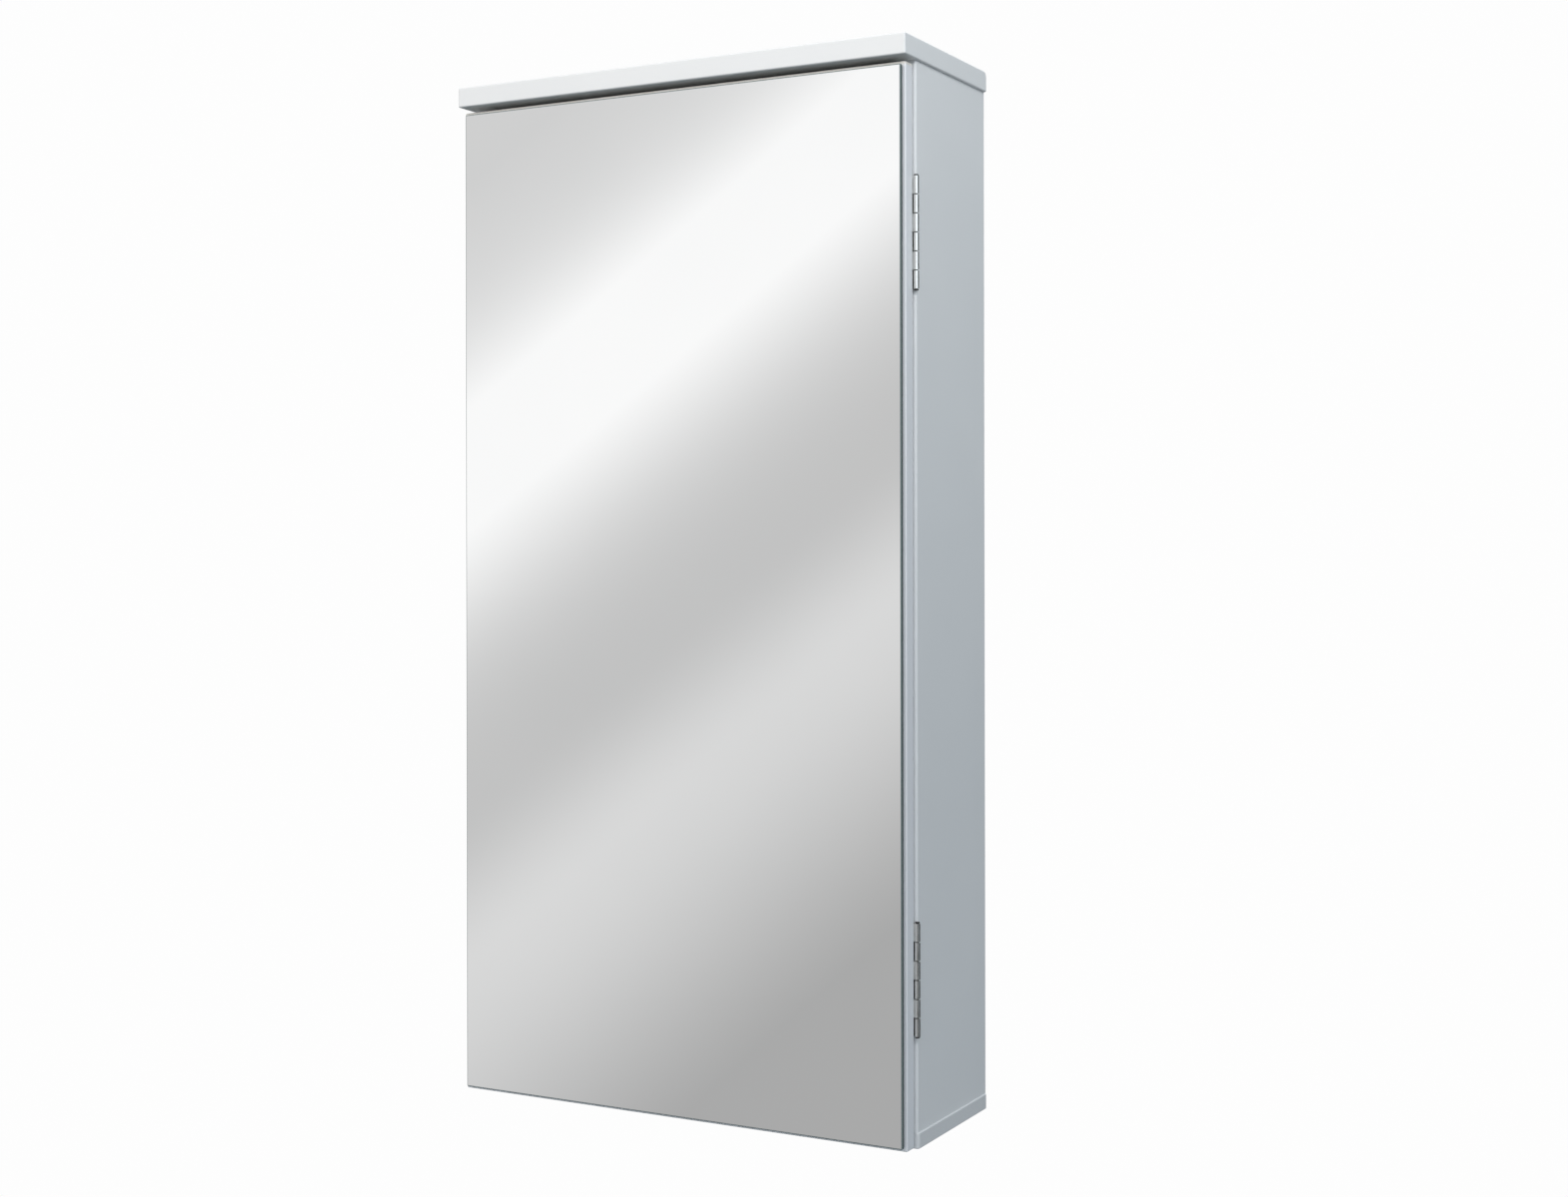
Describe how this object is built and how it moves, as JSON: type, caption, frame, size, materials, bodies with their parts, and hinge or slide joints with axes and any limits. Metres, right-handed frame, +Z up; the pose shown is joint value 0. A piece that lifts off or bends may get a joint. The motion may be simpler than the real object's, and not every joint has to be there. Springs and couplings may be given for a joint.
{
  "type": "medicine cabinet with mirror",
  "caption": "Wall-hung bathroom medicine cabinet: a narrow white carcass with a cornice, loose shelves and a full-height mirrored door on butt hinges.",
  "frame": {"origin": "on the wall plane, midway between the two wall-screw holes in the hanging rail", "axes": "+Z up, the longest extent; +X to the right as seen from in front; +Y out of the back into the wall, the shortest extent, so the mirror faces -Y"},
  "size_m": [0.303, 0.1145, 0.6145],
  "materials": {
    "white_board": "smooth white foil-wrapped board, satin",
    "white_shelf_board": "smooth white melamine board, satin",
    "back_hardboard": "white-faced hardboard, satin",
    "rail_board": "raw fibreboard, matt",
    "mirror_silver": "silvered float glass, polished",
    "foam_tape": "white foam tape, matt",
    "hinge_nickel": "nickel-plated steel, semi-bright",
    "screw_zinc": "bright zinc-plated steel",
    "cam_zinc": "die-cast zinc, dull",
    "dowel_beech": "beech dowel, fluted, matt",
    "pin_nickel": "nickel-plated steel, satin",
    "latch_plastic": "white moulded plastic, fine grain",
    "plunger_plastic": "light grey moulded plastic, smooth",
    "magnet_dark": "sintered magnet, dark grey",
    "spring_steel": "spring steel wire",
    "strike_steel": "zinc-plated steel plate"
  },
  "bodies": {
    "carcass": {"cornice": "white_board", "bottom_board": "white_board", "left_side_panel": "white_board", "right_side_panel": "white_board", "back_panel": "back_hardboard", "hanging_rail": "rail_board", "rail_dowels": "dowel_beech", "top_dowels": "dowel_beech", "bottom_dowels": "dowel_beech", "cam_locks": "cam_zinc", "cam_bolts": "screw_zinc", "bottom_board_screws": "screw_zinc", "upper_shelf_pins": "pin_nickel", "lower_shelf_pins": "pin_nickel", "latch_housing": "latch_plastic", "latch_end_cap": "latch_plastic", "latch_spring": "spring_steel", "latch_screws": "screw_zinc", "upper_hinge_frame_leaf": "hinge_nickel", "upper_hinge_pin": "hinge_nickel", "upper_hinge_frame_screws": "hinge_nickel", "lower_hinge_frame_leaf": "hinge_nickel", "lower_hinge_pin": "hinge_nickel", "lower_hinge_frame_screws": "hinge_nickel"},
    "door": {"door_board": "white_board", "mirror_glass": "mirror_silver", "mirror_tape_strips": "foam_tape", "strike_plate": "strike_steel", "strike_screws": "screw_zinc", "upper_hinge_door_leaf": "hinge_nickel", "upper_hinge_door_screws": "hinge_nickel", "lower_hinge_door_leaf": "hinge_nickel", "lower_hinge_door_screws": "hinge_nickel"},
    "upper_shelf": {"upper_shelf": "white_shelf_board"},
    "lower_shelf": {"lower_shelf": "white_shelf_board"},
    "latch_plunger": {"latch_plunger": "plunger_plastic", "latch_magnet": "magnet_dark"}
  },
  "joints": [
    {"name": "door_hinge", "type": "hinge", "parent": "carcass", "child": "door", "pos_m": [0.1506, -0.0981, -0.277], "axis": [0, 0, 1], "range_deg": [0, 180]},
    {"name": "upper_shelf_lift", "type": "slide", "parent": "carcass", "child": "upper_shelf", "axis": [0, 0, 1], "range_m": [0, 0.032]},
    {"name": "lower_shelf_lift", "type": "slide", "parent": "carcass", "child": "lower_shelf", "axis": [0, 0, 1], "range_m": [0, 0.032]},
    {"name": "latch_press", "type": "slide", "parent": "carcass", "child": "latch_plunger", "axis": [0, 1, 0], "range_m": [0, 0.002], "stiffness_N_per_m": 250, "deforming": ["latch_spring"]}
  ]
}
